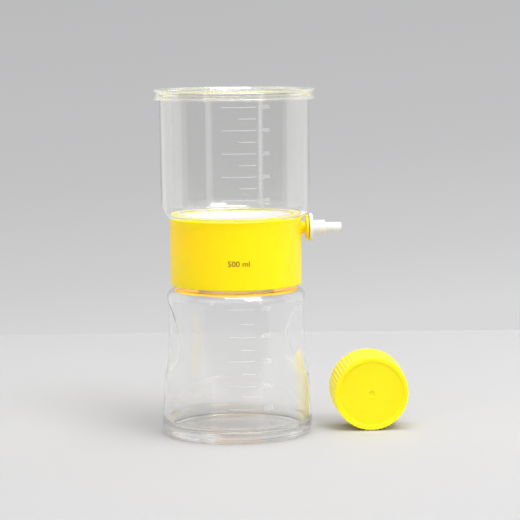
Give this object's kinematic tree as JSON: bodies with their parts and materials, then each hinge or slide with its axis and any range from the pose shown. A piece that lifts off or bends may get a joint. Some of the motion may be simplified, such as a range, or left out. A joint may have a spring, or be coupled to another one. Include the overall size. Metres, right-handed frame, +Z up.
{
  "type": "vacuum filtration unit",
  "caption": "Clear filter cup with lid on a yellow threaded collar with a side hose port, screwed onto a clear receiver bottle, with the bottle's ribbed screw cap beside it.",
  "frame": {"origin": "on the bottle's axis, level with the ring that the bottle stands on", "axes": "+Z up along the bottle's axis; +X outwards along the collar's side port, towards the loose cap"},
  "size_m": [0.1651, 0.1044, 0.2244],
  "materials": {
    "clear_plastic": "polished clear polystyrene",
    "yellow_plastic": "satin moulded yellow plastic",
    "white_plastic": "satin moulded white plastic, slightly translucent",
    "membrane": "matt white porous film",
    "gasket_rubber": "matt soft white seal",
    "cotton": "loose white cotton"
  },
  "bodies": {
    "bottle": {"receiver_bottle": "clear_plastic", "bottle_cap": "yellow_plastic", "cap_liner": "gasket_rubber"},
    "seal": {"neck_gasket": "gasket_rubber"},
    "head": {"filter_collar": "yellow_plastic", "support_grid": "white_plastic", "filter_membrane": "membrane", "funnel_cup": "clear_plastic", "funnel_lid": "clear_plastic"},
    "connector": {"hose_connector": "white_plastic", "connector_plug": "cotton"}
  },
  "joints": [
    {"name": "head_lift", "type": "slide", "parent": "bottle", "child": "seal", "axis": [0, 0, 1], "range_m": [0, 0.006]},
    {"name": "head_unscrew", "type": "hinge", "parent": "seal", "child": "head", "pos_m": [0, 0, 0.1222], "axis": [0, 0, 1], "range_deg": [0, 540]},
    {"name": "connector_pull", "type": "slide", "parent": "head", "child": "connector", "axis": [1, 0, 0], "range_m": [0, 0.006]}
  ],
  "couplings": [
    {"joint": "head_lift", "follows": "head_unscrew", "m_per_rad": 0.00063662}
  ]
}
